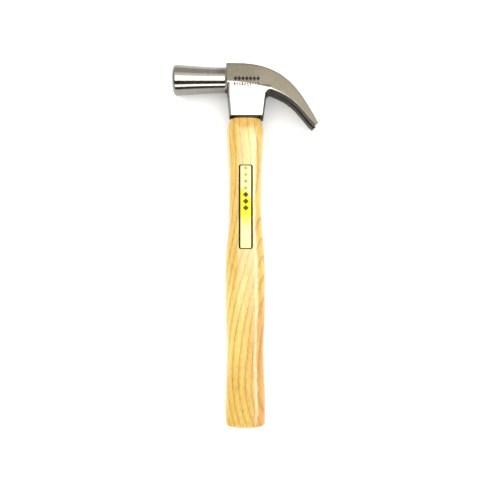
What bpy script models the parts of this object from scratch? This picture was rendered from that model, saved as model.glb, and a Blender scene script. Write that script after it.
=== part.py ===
# Curved-claw nail hammer: a forged steel head wedged onto a wooden handle.
#
# Lengths are in metres. The hammer lies on its side. +X runs from the striking face to the claws,
# +Y along the handle from the butt to the head, and +Z up through the cheeks of the head.
# Pieces are modelled about the handle's axis, with the middle plane of the head at z = 0 and
# y = 0 halfway along the hammer, and one empty then sets them down on z = 0.

import math

import bmesh
import bpy
from mathutils import Vector
from mathutils.geometry import interpolate_bezier

MM = 0.001

# Overall sizes
OVERALL_LENGTH = 336.5 * MM  # butt to the top of the striking face's rim
FACE_REACH = 67.0 * MM  # handle's axis to the striking face
CLAW_REACH = 67.0 * MM  # handle's axis to the claw tips
CLAW_DROP = 43.4 * MM  # poll's axis down to the claw tips

# Cheek
CHEEK_THICKNESS = 25.2 * MM
CHEEK_CROWN = 0.6 * MM  # cheek's top above the neck
CHEEK_DEPTH = 5.9 * MM  # poll's axis down to the cheek's lower edge, at the poll end
CHEEK_OVERHANG = 0.9 * MM  # how far the cheek's poll end stands out over the skirt
EDGE_BEVEL = 1.3 * MM  # bevel along the underside of cheek and claws
EDGE_ROUND = 0.7 * MM  # rounding along their top
TOP_CROWN = 0.4 * MM  # how much the top is arched across its width

# Poll
FACE_DIAMETER = 28.4 * MM
NECK_INSET = 1.2 * MM  # cheek's face down to the neck, on each side
NECK_FILLET = 1.1 * MM  # round the neck, where it meets the cheek
RIM_LENGTH = 2.4 * MM  # bevel round the striking face, along the poll
RIM_DEPTH = 1.6 * MM  # the same bevel, across the poll
BELL_POWER = 1.5  # how quickly the poll swells from neck to face
POLL_STEPS = 72
BELL_STEPS = 14
FILLET_STEPS = 7

# Skirt below the cheek
SKIRT_DROP = 37.0 * MM  # poll's axis down to the skirt's lowest edge
SKIRT_LENGTH = 31.7 * MM  # along X, at the bottom
SKIRT_TAPER = 1.3 * MM  # how much each side leans in, down to the bottom
SKIRT_STEP = 0.35 * MM  # how far the skirt's top lies inside the cheek's face
SKIRT_FLARE = 2.6 * MM  # how much further the claw side leans out, up to its fillet
HEEL_FLARE = 1.8 * MM  # the same on the poll side, up to the neck
SKIRT_SCALLOP = 1.4 * MM  # how much higher the bottom edge is at the faces than at the ends
SKIRT_POWER = 9.0
ROOT_FILLET = 4.2 * MM  # between skirt and claws
ROOT_BEYOND_SKIRT = 1.6 * MM  # skirt's claw side to where the claws' underside starts

# Claws
CLAW_ROOT_DEPTH = 11.0 * MM  # poll's axis down to the start of the claws' underside
WAIST_INSET = 0.5 * MM  # cheek's face to the claws' sides where they leave the cheek
CLAW_SPREAD = 26.6 * MM  # width across both claws at their tips
CLAW_DRAFT = 0.8 * MM  # how much each side of the claws leans in towards the underside
CLAW_TIP_THICKNESS = 3.1 * MM
TIP_CORNER = 3.2 * MM  # rounding of each claw's outer corner
CLAW_ROOT_SHARE = 0.42  # share of the cheek-and-claw path at which the claws leave the cheek
FLARE_POWER = 1.5  # how late the claws spread on their way to the tips
BLADE_RINGS = 56
CORNER_STEPS = 7

# Bends of the claws' two curves: shares of each curve's reach and drop, from its root to its tip
TOP_BEND_ROOT = (0.58, 0.015)
TOP_BEND_TIP = (0.753, 0.41)
UNDER_BEND_ROOT = (0.607, 0.23)
UNDER_BEND_TIP = (0.726, 0.679)
CURVE_POINTS = 60

# V slot between the claws
SLOT_START = 0.52  # share of the cheek-and-claw path where the slot begins
SLOT_ROOT_WIDTH = 1.8 * MM
SLOT_TIP_WIDTH = 6.4 * MM
SLOT_BEVEL = 1.0 * MM  # bevel of the slot's edges on the claws' underside
SLOT_RINGS = 26

# Eye through the head
EYE_OFFSET = 0.95 * MM  # eye's centre from the handle's axis, towards the claws
EYE_END_WALL = 3.35 * MM  # skirt's wall at the ends of the eye
EYE_SIDE_WALL = 2.1 * MM  # skirt's wall beside the eye
EYE_TOP_SPREAD = 1.9 * MM  # how much longer and wider the eye is at the top
EYE_POWER = 4.0
SECTION_POINTS = 64

# Fits
GAP = 0.3 * MM  # between pieces that touch
TRIM_BELOW_CROWN = 0.4 * MM  # handle's end and wedges below the top of the head
SHOULDER_GAP = 0.6 * MM  # skirt's lowest edge to the handle's shoulder

# Handle: half-length along X and half-thickness along Z at places along the grip
GRIP_POWER = 2.7
SHOULDER_INSET = 1.15 * MM  # skirt's ends to the shoulder's, just below the skirt
SHOULDER_PROUD = 0.3 * MM  # shoulder beyond the skirt's sides
COLLAR_HALF = (16.9 * MM, 12.6 * MM)
COLLAR_BELOW_SKIRT = 10.5 * MM
WAIST_HALF = (14.9 * MM, 11.5 * MM)
WAIST_BELOW_SKIRT = 56.0 * MM
WAIST_LENGTH = 30.0 * MM
BELLY_HALF = (18.3 * MM, 12.7 * MM)
BELLY_ABOVE_BUTT = 110.5 * MM
BELLY_LENGTH = 36.0 * MM
NARROW_HALF = (17.0 * MM, 12.2 * MM)
NARROW_ABOVE_BUTT = 68.0 * MM
KNOB_HALF = (18.8 * MM, 13.4 * MM)
KNOB_ABOVE_BUTT = 9.0 * MM
BUTT_ROUND = 2.4 * MM
BUTT_ROUND_STEPS = 5
HANDLE_POINTS = 56
HANDLE_SPACING = 7.0 * MM

# Wedges
WOOD_WEDGE_DEPTH = 26.0 * MM
WOOD_WEDGE_TOP = 3.6 * MM
WOOD_WEDGE_TIP = 1.0 * MM
STEEL_WEDGE_DEPTH = 15.0 * MM
STEEL_WEDGE_TOP = 2.0 * MM
STEEL_WEDGE_TIP = 0.7 * MM
STEEL_WEDGE_FROM_SIDES = 2.95 * MM  # eye's sides to the ends of a steel wedge
STEEL_WEDGE_FROM_ENDS = 7.0 * MM  # eye's ends to the middle of a steel wedge

# Label on the flat of the handle
LABEL_LENGTH = 77.3 * MM
LABEL_WIDTH = 12.9 * MM
LABEL_OFFSET = 0.4 * MM  # label's centre line from the handle's axis, towards the claws
LABEL_THICKNESS = 0.2 * MM
LABEL_TOP_BELOW_SKIRT = 44.0 * MM
LABEL_CORNER = 1.6 * MM

# Places that follow from the sizes
BUTT_Y = -OVERALL_LENGTH / 2
POLL_Y = OVERALL_LENGTH / 2 - FACE_DIAMETER / 2
SKIRT_Y = POLL_Y - SKIRT_DROP
SHOULDER_Y = SKIRT_Y - SHOULDER_GAP
SKIRT_THICKNESS = CHEEK_THICKNESS - 2 * SKIRT_TAPER
SKIRT_POLL_SIDE = EYE_OFFSET - SKIRT_LENGTH / 2
SKIRT_CLAW_SIDE = EYE_OFFSET + SKIRT_LENGTH / 2
CHEEK_REACH = HEEL_FLARE + CHEEK_OVERHANG - SKIRT_POLL_SIDE
CLAW_ROOT_REACH = SKIRT_CLAW_SIDE + SKIRT_FLARE + ROOT_BEYOND_SKIRT
NECK_RADIUS = CHEEK_THICKNESS / 2 - NECK_INSET
TOP_Y = POLL_Y + NECK_RADIUS + CHEEK_CROWN
EYE_LENGTH = SKIRT_LENGTH - 2 * EYE_END_WALL
EYE_WIDTH = SKIRT_THICKNESS - 2 * EYE_SIDE_WALL
SHOULDER_HALF = (SKIRT_LENGTH / 2 - SHOULDER_INSET, SKIRT_THICKNESS / 2 + SHOULDER_PROUD)
HEAD_HALF = CHEEK_THICKNESS / 2
CLAW_HALF = CLAW_SPREAD / 2
REST_HEIGHT = max(CLAW_HALF, FACE_DIAMETER / 2, HEAD_HALF, KNOB_HALF[1])
PAST = 8.0 * MM  # how far a cutter runs past what it cuts

STEEL = ((0.42, 0.40, 0.36), 0.32, 1.0)
BRIGHT_STEEL = ((0.52, 0.51, 0.49), 0.28, 1.0)
ASH = ((0.80, 0.56, 0.24), 0.35, 0.0)
POPLAR = ((0.66, 0.50, 0.28), 0.6, 0.0)
YELLOW_PRINT = ((0.85, 0.72, 0.06), 0.3, 0.0)


def clear_scene():
    for obj in list(bpy.data.objects):
        bpy.data.objects.remove(obj)


def new_collection(name):
    made = bpy.data.collections.new(name)
    bpy.context.scene.collection.children.link(made)
    return made


def new_material(name, look):
    colour, roughness, metallic = look
    made = bpy.data.materials.new(name)
    made.use_nodes = True
    shader = made.node_tree.nodes["Principled BSDF"]
    shader.inputs["Base Color"].default_value = (*colour, 1.0)
    shader.inputs["Roughness"].default_value = roughness
    shader.inputs["Metallic"].default_value = metallic
    return made


def new_piece(name, mesh, look):
    """A part of the hammer, with a material of its own."""
    piece = bpy.data.objects.new(name, mesh)
    mesh.materials.append(new_material(name, look))
    mesh.shade_smooth()
    mesh.set_sharp_from_angle(angle=math.radians(30))
    parts.objects.link(piece)
    piece.parent = ground
    return piece


def new_helper(name, mesh):
    """A solid that only shapes others: it isn't part of the hammer."""
    helper = bpy.data.objects.new(name, mesh)
    helper.hide_render = True
    helper.display_type = "WIRE"
    cutters.objects.link(helper)
    helper.parent = ground
    return helper


def combine(target, operation, other):
    modifier = target.modifiers.new(operation.lower() + "_" + other.name, "BOOLEAN")
    modifier.operation = operation
    modifier.solver = "EXACT"
    modifier.object = other


def loft(name, rings):
    """A closed solid through rings of equally many points, with a flat cap at each end."""
    mesh = bpy.data.meshes.new(name)
    solid = bmesh.new()
    loops = [[solid.verts.new(point) for point in ring] for ring in rings]
    for near, far in zip(loops, loops[1:]):
        for i in range(len(near)):
            solid.faces.new((near[i - 1], near[i], far[i], far[i - 1]))
    solid.faces.new(loops[0])
    solid.faces.new(reversed(loops[-1]))
    bmesh.ops.recalc_face_normals(solid, faces=solid.faces)
    solid.to_mesh(mesh)
    solid.free()
    return mesh


def box(name, low, high):
    mesh = bpy.data.meshes.new(name)
    solid = bmesh.new()
    bmesh.ops.create_cube(solid, size=1.0)
    size = Vector(high) - Vector(low)
    bmesh.ops.scale(solid, verts=solid.verts, vec=size)
    bmesh.ops.translate(solid, verts=solid.verts, vec=Vector(low) + size / 2)
    solid.to_mesh(mesh)
    solid.free()
    return mesh


def rounded_section(centre_x, y, half_x, half_z, power, count=SECTION_POINTS):
    """A superellipse across the handle: power 2 is an ellipse, and more is nearer to a rectangle."""
    ring = []
    for i in range(count):
        angle = math.tau * (i + 0.5) / count
        c, s = math.cos(angle), math.sin(angle)
        x = math.copysign(abs(c) ** (2 / power), c) * half_x
        z = math.copysign(abs(s) ** (2 / power), s) * half_z
        ring.append(Vector((centre_x + x, y, z)))
    return ring


def smooth_between(low, high, share):
    share = min(1.0, max(0.0, share))
    return low + (high - low) * share * share * (3 - 2 * share)


def through_stations(stations, y):
    """Half sizes at y, eased from each station to the next. Stations run from high y to low y."""
    if y >= stations[0][0]:
        return stations[0][1]
    for (upper, first), (lower, second) in zip(stations, stations[1:]):
        if y >= lower:
            share = (upper - y) / (upper - lower)
            return tuple(smooth_between(a, b, share) for a, b in zip(first, second))
    return stations[-1][1]


class Path:
    """A run of points that can be asked for the point at any share of its length."""

    def __init__(self, points):
        self.points = points
        self.distances = [0.0]
        for a, b in zip(points, points[1:]):
            self.distances.append(self.distances[-1] + (b - a).length)
        self.length = self.distances[-1]

    def at(self, share):
        wanted = min(1.0, max(0.0, share)) * self.length
        for i in range(1, len(self.points)):
            if wanted <= self.distances[i]:
                step = self.distances[i] - self.distances[i - 1]
                part = (wanted - self.distances[i - 1]) / step
                return self.points[i - 1].lerp(self.points[i], part)
        return self.points[-1]


def bent_line(start, end, bend_start, bend_end):
    """Points along a curve whose two bends are given as shares of its reach and drop."""
    span = end - start
    bends = [start + Vector((x * span.x, y * span.y)) for x, y in (bend_start, bend_end)]
    return interpolate_bezier(start, *bends, end, CURVE_POINTS)


def claw_paths():
    """The top line and the underside line of cheek and claws, from the poll end to the tips."""
    tip = Vector((CLAW_REACH, POLL_Y - CLAW_DROP))
    crown = Vector((-CHEEK_REACH / 3, TOP_Y - TOP_CROWN / 2))
    top = [Vector((-CHEEK_REACH, TOP_Y))]
    top += bent_line(crown, tip, TOP_BEND_ROOT, TOP_BEND_TIP)
    along_tip = (tip - top[-2]).normalized()
    inward = Vector((along_tip.y, -along_tip.x))
    root = Vector((CLAW_ROOT_REACH, POLL_Y - CLAW_ROOT_DEPTH))
    under = [Vector((-CHEEK_REACH, POLL_Y - CHEEK_DEPTH))]
    under += bent_line(root, tip + inward * CLAW_TIP_THICKNESS, UNDER_BEND_ROOT, UNDER_BEND_TIP)
    return Path(top), Path(under)


TOP_PATH, UNDER_PATH = claw_paths()


def blade_half_width(share):
    """Half the width across the top: it narrows to the claws' waist, and flares to their tips."""
    waist_half = HEAD_HALF - WAIST_INSET
    if share < CLAW_ROOT_SHARE:
        return smooth_between(HEAD_HALF, waist_half, 2 * share / CLAW_ROOT_SHARE - 1)
    corner = 1 - TIP_CORNER / TOP_PATH.length
    flare = min(1.0, (share - CLAW_ROOT_SHARE) / (corner - CLAW_ROOT_SHARE)) ** FLARE_POWER
    half = waist_half + (CLAW_SPREAD / 2 - waist_half) * flare
    left = (1 - share) * TOP_PATH.length
    if left < TIP_CORNER:
        half -= TIP_CORNER - math.sqrt(TIP_CORNER**2 - (TIP_CORNER - left) ** 2)
    return half


def blade_shares():
    """Where the rings lie: evenly, and then closer together round the tips' corners."""
    corner_from = 1 - TIP_CORNER / TOP_PATH.length
    even = [corner_from * i / BLADE_RINGS for i in range(BLADE_RINGS)]
    turns = [math.pi / 2 * i / CORNER_STEPS for i in range(CORNER_STEPS + 1)]
    return even + [corner_from + (1 - corner_from) * math.sin(turn) for turn in turns]


def blade_ring(share):
    """One section of cheek or claws: flat below with bevelled edges, and slightly arched on top."""
    under, top = UNDER_PATH.at(share), TOP_PATH.at(share)
    height = (top - under).length
    up = (top - under).normalized()
    half = blade_half_width(share)
    bevel = min(EDGE_BEVEL, height * 0.42)
    rounding = min(EDGE_ROUND, height / 5)
    crown = TOP_CROWN * min(1.0, height / CHEEK_THICKNESS * 2)
    low_half = half - smooth_between(0.0, CLAW_DRAFT, 2 * share / CLAW_ROOT_SHARE - 1)
    side = [(0.0, low_half - bevel), (bevel, low_half), (height - crown - rounding, half)]
    for turn in (math.pi / 6, math.pi / 3, math.pi / 2):
        drop = rounding * (1 - math.sin(turn))
        side.append((height - crown - drop, half - rounding * (1 - math.cos(turn))))
    for inner in (2 / 3, 1 / 3):
        side.append((height - crown * inner**2, (half - rounding) * inner))
    outline = side + [(height, 0.0)] + [(u, -z) for u, z in reversed(side)]
    return [Vector((*(under + up * u), z)) for u, z in outline]


def make_blade():
    return loft("hammer_head", [blade_ring(share) for share in blade_shares()])


def poll_profile():
    """(radius, distance from the handle's axis), from the face to a cap hidden in the cheek."""
    face_radius = FACE_DIAMETER / 2
    rim = FACE_REACH - RIM_LENGTH
    neck_end = CHEEK_REACH + NECK_FILLET
    profile = [(0.0, FACE_REACH), (face_radius - RIM_DEPTH, FACE_REACH)]
    profile.append((face_radius - RIM_DEPTH / 6, rim + RIM_LENGTH / 3))
    for i in range(BELL_STEPS + 1):
        along = i / BELL_STEPS
        radius = NECK_RADIUS + (face_radius - NECK_RADIUS) * (1 - along) ** BELL_POWER
        profile.append((radius, rim + (neck_end - rim) * along))
    for i in range(1, FILLET_STEPS + 1):
        turn = math.pi / 2 * i / FILLET_STEPS
        rise = NECK_FILLET * (1 - math.cos(turn))
        profile.append((NECK_RADIUS + rise, neck_end - NECK_FILLET * math.sin(turn)))
    inside = CHEEK_REACH - 2 * EDGE_BEVEL
    return profile + [(NECK_RADIUS + NECK_FILLET, inside), (0.0, inside)]


def make_poll():
    """The turned striking end: a flat face, a bevelled rim, a bell, and a neck with a fillet."""
    mesh = bpy.data.meshes.new("poll")
    line = bmesh.new()
    points = [line.verts.new((radius, 0.0, height)) for radius, height in poll_profile()]
    for a, b in zip(points, points[1:]):
        line.edges.new((a, b))
    line.to_mesh(mesh)
    line.free()
    poll = new_helper("poll", mesh)
    poll.location = (0.0, POLL_Y, 0.0)
    poll.rotation_euler = (0.0, -math.pi / 2, 0.0)
    turn = poll.modifiers.new("turn", "SCREW")
    turn.steps = POLL_STEPS
    turn.render_steps = POLL_STEPS
    turn.use_merge_vertices = True
    turn.merge_threshold = 0.00001
    return poll


def skirt_half_thickness(y):
    """Half the skirt's thickness, from the bottom edge up to just inside the cheek's face."""
    share = (y - SKIRT_Y) / (POLL_Y - CHEEK_DEPTH - SKIRT_Y)
    top_half = HEAD_HALF - SKIRT_STEP
    return SKIRT_THICKNESS / 2 + (top_half - SKIRT_THICKNESS / 2) * share


def root_fillet_centre():
    """(x, y) of the round between the skirt's claw side and the claws' underside."""
    centre_x = SKIRT_CLAW_SIDE + SKIRT_FLARE + ROOT_FILLET
    first, second = UNDER_PATH.points[1], UNDER_PATH.points[4]
    slope = (second.y - first.y) / (second.x - first.x)
    line_y = first.y + slope * (centre_x - first.x)
    return centre_x, line_y - ROOT_FILLET * math.sqrt(1 + slope**2)


def skirt_ends(y):
    """The skirt's two ends along X at a height: straight sides, then a fillet into the claws."""
    centre_x, centre_y = root_fillet_centre()
    share = (y - SKIRT_Y) / (centre_y - SKIRT_Y)
    left = SKIRT_POLL_SIDE - HEEL_FLARE * min(1.0, share)
    right = SKIRT_CLAW_SIDE + SKIRT_FLARE * min(1.0, share)
    rise = min(ROOT_FILLET, max(0.0, y - centre_y))
    return left, right + ROOT_FILLET - math.sqrt(ROOT_FILLET**2 - rise**2)


def make_skirt():
    """The tapered socket under the cheek, up to a cap that is hidden inside the cheek."""
    centre_y = root_fillet_centre()[1]
    low_y = SKIRT_Y - PAST / 2
    heights = [low_y + (centre_y - low_y) * i / 6 for i in range(6)]
    heights += [centre_y + ROOT_FILLET * math.sin(math.pi / 2 * i / 8) for i in range(9)]
    heights.append(POLL_Y - CHEEK_DEPTH + EDGE_BEVEL)
    rings = []
    for y in heights:
        left, right = skirt_ends(y)
        middle, half_x = (left + right) / 2, (right - left) / 2
        half_z = min(skirt_half_thickness(y), HEAD_HALF - SKIRT_STEP)
        rings.append(rounded_section(middle, y, half_x, half_z, SKIRT_POWER))
    skirt = new_helper("skirt", loft("skirt", rings))

    half = SKIRT_THICKNESS / 2
    radius = (half**2 + SKIRT_SCALLOP**2) / (2 * SKIRT_SCALLOP)
    mesh = bpy.data.meshes.new("skirt_bottom")
    drum = bmesh.new()
    bmesh.ops.create_cone(
        drum, cap_ends=True, segments=220, radius1=radius, radius2=radius, depth=4 * SKIRT_LENGTH
    )
    drum.to_mesh(mesh)
    drum.free()
    bottom = new_helper("skirt_bottom", mesh)
    bottom.rotation_euler = (0.0, math.pi / 2, 0.0)
    bottom.location = (0.0, SKIRT_Y + radius, 0.0)
    combine(skirt, "INTERSECT", bottom)
    return skirt


def eye_half_sizes(y):
    """Half-length and half-width of the eye, which opens out above the poll's axis."""
    spread = EYE_TOP_SPREAD / 2 * max(0.0, (y - POLL_Y) / (TOP_Y - POLL_Y))
    return EYE_LENGTH / 2 + spread, EYE_WIDTH / 2 + spread


def eye_rings(bottom_y, clearance=0.0, count=SECTION_POINTS):
    """Sections down the eye, or down the tongue that fills it to within a clearance."""
    rings = []
    for y in (TOP_Y + PAST, TOP_Y, POLL_Y, bottom_y):
        half_x, half_z = eye_half_sizes(y)
        half_x, half_z = half_x - clearance, half_z - clearance
        rings.append(rounded_section(EYE_OFFSET, y, half_x, half_z, EYE_POWER, count))
    return rings


def make_slot():
    """The V slot between the claws, narrow above and bevelled on the underside."""
    rings = []
    for i in range(SLOT_RINGS + 1):
        along = i / SLOT_RINGS
        share = SLOT_START + (1 - SLOT_START) * along
        under, top = UNDER_PATH.at(share), TOP_PATH.at(share)
        height = (top - under).length
        up = (top - under).normalized()
        half = (SLOT_ROOT_WIDTH + (SLOT_TIP_WIDTH - SLOT_ROOT_WIDTH) * along) / 2
        bevel = min(SLOT_BEVEL, height * 0.5)
        side = [(-PAST / 4, half + bevel + PAST / 4), (bevel, half), (height + PAST / 4, half)]
        outline = side + [(u, -z) for u, z in reversed(side)]
        rings.append([Vector((*(under + up * u), z)) for u, z in outline])
    forward = TOP_PATH.at(1.0) - TOP_PATH.at(0.97)
    ahead = Vector((*forward.normalized(), 0.0)) * PAST
    rings.append([point + ahead for point in rings[-1]])
    return new_helper("claw_slot", loft("claw_slot", rings))


def make_head():
    head = new_piece("hammer_head", make_blade(), STEEL)
    combine(head, "UNION", make_poll())
    combine(head, "UNION", make_skirt())
    eye = new_helper("eye", loft("eye", eye_rings(SKIRT_Y - PAST)))
    combine(head, "DIFFERENCE", eye)
    combine(head, "DIFFERENCE", make_slot())
    return head


def handle_stations():
    """(y, (half-length, half-thickness)) down the grip, from the shoulder to the butt."""
    waist_low = SKIRT_Y - WAIST_BELOW_SKIRT - WAIST_LENGTH
    belly_high = BUTT_Y + BELLY_ABOVE_BUTT + BELLY_LENGTH
    return [
        (SHOULDER_Y, SHOULDER_HALF),
        (SKIRT_Y - COLLAR_BELOW_SKIRT, COLLAR_HALF),
        (waist_low + WAIST_LENGTH, WAIST_HALF),
        (waist_low, WAIST_HALF),
        (belly_high, BELLY_HALF),
        (BUTT_Y + BELLY_ABOVE_BUTT, BELLY_HALF),
        (BUTT_Y + NARROW_ABOVE_BUTT, NARROW_HALF),
        (BUTT_Y + KNOB_ABOVE_BUTT, KNOB_HALF),
    ]


def grip_half_sizes(y):
    return through_stations(handle_stations(), y)


def grip_heights():
    """Where the grip's rings lie: close together at the shoulder, and even down to the butt."""
    shoulder = [SHOULDER_Y - COLLAR_BELOW_SKIRT * i / 6 for i in range(6)]
    start, end = SHOULDER_Y - COLLAR_BELOW_SKIRT, BUTT_Y + BUTT_ROUND
    count = max(8, round((start - end) / HANDLE_SPACING))
    return shoulder + [start + (end - start) * i / count for i in range(count + 1)]


def handle_rings():
    """The tongue inside the eye, the shoulder under the skirt, the grip and the rounded butt."""
    rings = eye_rings(SHOULDER_Y, GAP, HANDLE_POINTS)
    for y in grip_heights():
        half_x, half_z = grip_half_sizes(y)
        rings.append(rounded_section(0.0, y, half_x, half_z, GRIP_POWER, HANDLE_POINTS))
    for i in range(1, BUTT_ROUND_STEPS + 1):
        turn = math.pi / 2 * i / BUTT_ROUND_STEPS
        y = BUTT_Y + BUTT_ROUND * (1 - math.sin(turn))
        half_x, half_z = (half - BUTT_ROUND * (1 - math.cos(turn)) for half in KNOB_HALF)
        rings.append(rounded_section(0.0, y, half_x, half_z, GRIP_POWER, HANDLE_POINTS))
    return rings


def wedge_mesh(name, centre, along, half_width, top_half, tip_half, depth, clearance=0.0):
    """A wedge driven down from the top of the eye, thin across and wide along one axis."""
    across = Vector((along.z, 0.0, along.x))
    top_y = TOP_Y + PAST
    slope = (top_half - tip_half) / depth
    rings = []
    for y, half in (
        (top_y, top_half + slope * PAST + clearance),
        (TOP_Y - depth - clearance, tip_half + clearance),
    ):
        width = half_width + clearance
        corners = ((1, 1), (1, -1), (-1, -1), (-1, 1))
        middle = Vector((centre, y, 0.0))
        rings.append([middle + along * width * a + across * half * b for a, b in corners])
    return loft(name, rings)


def wood_wedge_mesh(name, clearance=0.0):
    return wedge_mesh(
        name,
        EYE_OFFSET,
        Vector((1.0, 0.0, 0.0)),
        EYE_LENGTH,
        WOOD_WEDGE_TOP / 2,
        WOOD_WEDGE_TIP / 2,
        WOOD_WEDGE_DEPTH,
        clearance,
    )


def steel_wedge_mesh(name, side, clearance=0.0):
    return wedge_mesh(
        name,
        EYE_OFFSET + side * (EYE_LENGTH / 2 - STEEL_WEDGE_FROM_ENDS),
        Vector((0.0, 0.0, 1.0)),
        EYE_WIDTH / 2 - STEEL_WEDGE_FROM_SIDES,
        STEEL_WEDGE_TOP / 2,
        STEEL_WEDGE_TIP / 2,
        STEEL_WEDGE_DEPTH,
        clearance,
    )


def crown_trim_mesh():
    """Everything above a line just under the top of the head, which handle and wedges stop at."""
    low = [TOP_PATH.at(i / 60) - Vector((0.0, TRIM_BELOW_CROWN)) for i in range(34)]
    low[0].x -= PAST
    high_y = TOP_Y + 2 * PAST
    outline = low + [Vector((low[-1].x, high_y)), Vector((low[0].x, high_y))]
    return loft(
        "crown_trim",
        [[Vector((p.x, p.y, z)) for p in outline] for z in (-CHEEK_THICKNESS, CHEEK_THICKNESS)],
    )


def make_handle_and_wedges():
    """The handle fills the eye, one wooden wedge splits it lengthways and two steel ones across."""
    trim = new_helper("crown_trim", crown_trim_mesh())
    tongue = new_helper("tongue", loft("tongue", eye_rings(SHOULDER_Y, GAP)))
    handle = new_piece("handle", loft("handle", handle_rings()), ASH)
    kerf = new_helper("kerf", wood_wedge_mesh("kerf", GAP))
    combine(handle, "DIFFERENCE", kerf)
    wood_wedge = new_piece("wood_wedge", wood_wedge_mesh("wood_wedge"), POPLAR)
    combine(wood_wedge, "INTERSECT", tongue)
    for name, side in (("steel_wedge_poll_side", -1), ("steel_wedge_claw_side", 1)):
        wedge = new_piece(name, steel_wedge_mesh(name, side), BRIGHT_STEEL)
        room = new_helper(name + "_room", steel_wedge_mesh(name + "_room", side, GAP))
        combine(handle, "DIFFERENCE", room)
        combine(wood_wedge, "DIFFERENCE", room)
        combine(wedge, "DIFFERENCE", trim)
    combine(handle, "DIFFERENCE", trim)
    combine(wood_wedge, "DIFFERENCE", trim)


def grip_surface(x, y):
    """Height of the grip's upper side above its axis."""
    half_x, half_z = grip_half_sizes(y)
    share = min(1.0, abs(x) / half_x)
    return half_z * (1 - share**GRIP_POWER) ** (1 / GRIP_POWER)


def label_half_width(inset):
    """Half the label's width at a distance in from either end, with its corners rounded."""
    if inset >= LABEL_CORNER:
        return LABEL_WIDTH / 2
    back = LABEL_CORNER - inset
    return LABEL_WIDTH / 2 - LABEL_CORNER + math.sqrt(LABEL_CORNER**2 - back**2)


def make_label():
    """A thin printed strip that follows the flat of the grip."""
    top_y = SKIRT_Y - LABEL_TOP_BELOW_SKIRT
    corner = [LABEL_CORNER * (1 - math.cos(math.pi / 2 * i / 4)) for i in range(5)]
    middle_count = 16
    step = (LABEL_LENGTH - 2 * LABEL_CORNER) / middle_count
    insets = corner + [LABEL_CORNER + step * i for i in range(1, middle_count)]
    insets += [LABEL_LENGTH - inset for inset in reversed(corner)]
    columns = 8
    mesh = bpy.data.meshes.new("handle_label")
    sheet = bmesh.new()
    rows = []
    for inset in insets:
        half = label_half_width(min(inset, LABEL_LENGTH - inset))
        y = top_y - inset
        xs = [LABEL_OFFSET + half * (2 * i / columns - 1) for i in range(columns + 1)]
        rows.append([sheet.verts.new((x, y, grip_surface(x, y) + GAP)) for x in xs])
    for near, far in zip(rows, rows[1:]):
        for i in range(columns):
            sheet.faces.new((near[i], far[i], far[i + 1], near[i + 1]))
    sheet.to_mesh(mesh)
    sheet.free()
    label = new_piece("handle_label", mesh, YELLOW_PRINT)
    wall = label.modifiers.new("thickness", "SOLIDIFY")
    wall.thickness = LABEL_THICKNESS
    wall.offset = 1.0


clear_scene()
parts = new_collection("claw_hammer")
cutters = new_collection("claw_hammer_cutters")
ground = bpy.data.objects.new("ground", None)
ground.location = ((FACE_REACH - CLAW_REACH) / 2, 0.0, REST_HEIGHT)
parts.objects.link(ground)
make_head()
make_handle_and_wedges()
make_label()
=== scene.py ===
import math

import bmesh
import bpy
from mathutils import Matrix, Vector
from mathutils.geometry import interpolate_bezier


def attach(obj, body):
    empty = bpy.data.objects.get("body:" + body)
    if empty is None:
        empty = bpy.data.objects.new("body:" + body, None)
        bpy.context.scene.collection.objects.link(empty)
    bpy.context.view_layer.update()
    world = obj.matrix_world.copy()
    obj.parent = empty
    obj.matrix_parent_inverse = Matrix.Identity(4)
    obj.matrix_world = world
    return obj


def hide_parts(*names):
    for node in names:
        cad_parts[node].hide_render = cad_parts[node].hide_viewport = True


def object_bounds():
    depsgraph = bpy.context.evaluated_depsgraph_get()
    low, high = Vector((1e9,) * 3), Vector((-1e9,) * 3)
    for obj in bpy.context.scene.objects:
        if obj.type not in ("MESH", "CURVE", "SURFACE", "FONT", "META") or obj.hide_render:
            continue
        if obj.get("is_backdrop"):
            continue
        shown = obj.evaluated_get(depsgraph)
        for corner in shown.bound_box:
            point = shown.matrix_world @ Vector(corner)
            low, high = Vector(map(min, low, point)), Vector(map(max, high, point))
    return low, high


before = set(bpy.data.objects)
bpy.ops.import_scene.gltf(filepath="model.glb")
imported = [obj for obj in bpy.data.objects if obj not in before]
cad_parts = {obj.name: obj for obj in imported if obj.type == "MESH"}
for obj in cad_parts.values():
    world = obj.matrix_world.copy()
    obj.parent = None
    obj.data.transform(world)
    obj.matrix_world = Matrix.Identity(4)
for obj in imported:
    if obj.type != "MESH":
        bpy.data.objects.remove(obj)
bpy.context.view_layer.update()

mm = 0.001
midPlane = 14.2 * mm  # the head's middle plane, above the floor
pollAxis = 154.05 * mm  # the poll's axis, along Y


def easeBetween(low, high, share):
    share = min(1.0, max(0.0, share))
    return low + (high - low) * share * share * (3 - 2 * share)


def rise(distance, width):  # 0 to 1 over a width, and level on both sides of it
    return easeBetween(0, 1, distance / width)


def newPiece(name, bm):
    mesh = bpy.data.meshes.new(name)
    bm.to_mesh(mesh)
    bm.free()
    piece = bpy.data.objects.new(name, mesh)
    bpy.context.scene.collection.objects.link(piece)
    return piece


def bakeModifiers(piece):  # leaves the shaped mesh, with no modifiers on it
    bpy.context.view_layer.update()
    graph = bpy.context.evaluated_depsgraph_get()
    shaped = bpy.data.meshes.new_from_object(piece.evaluated_get(graph))
    piece.modifiers.clear()
    old = piece.data
    piece.data = shaped
    bpy.data.meshes.remove(old)
    shaped.name = piece.name
    return shaped


def booleanWith(piece, tool, operation):
    cut = piece.modifiers.new(tool.name, "BOOLEAN")
    cut.operation = operation
    cut.solver = "EXACT"
    cut.object = tool


def dropTools(*tools):
    for tool in tools:
        mesh = tool.data
        bpy.data.objects.remove(tool)
        bpy.data.meshes.remove(mesh)


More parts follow.
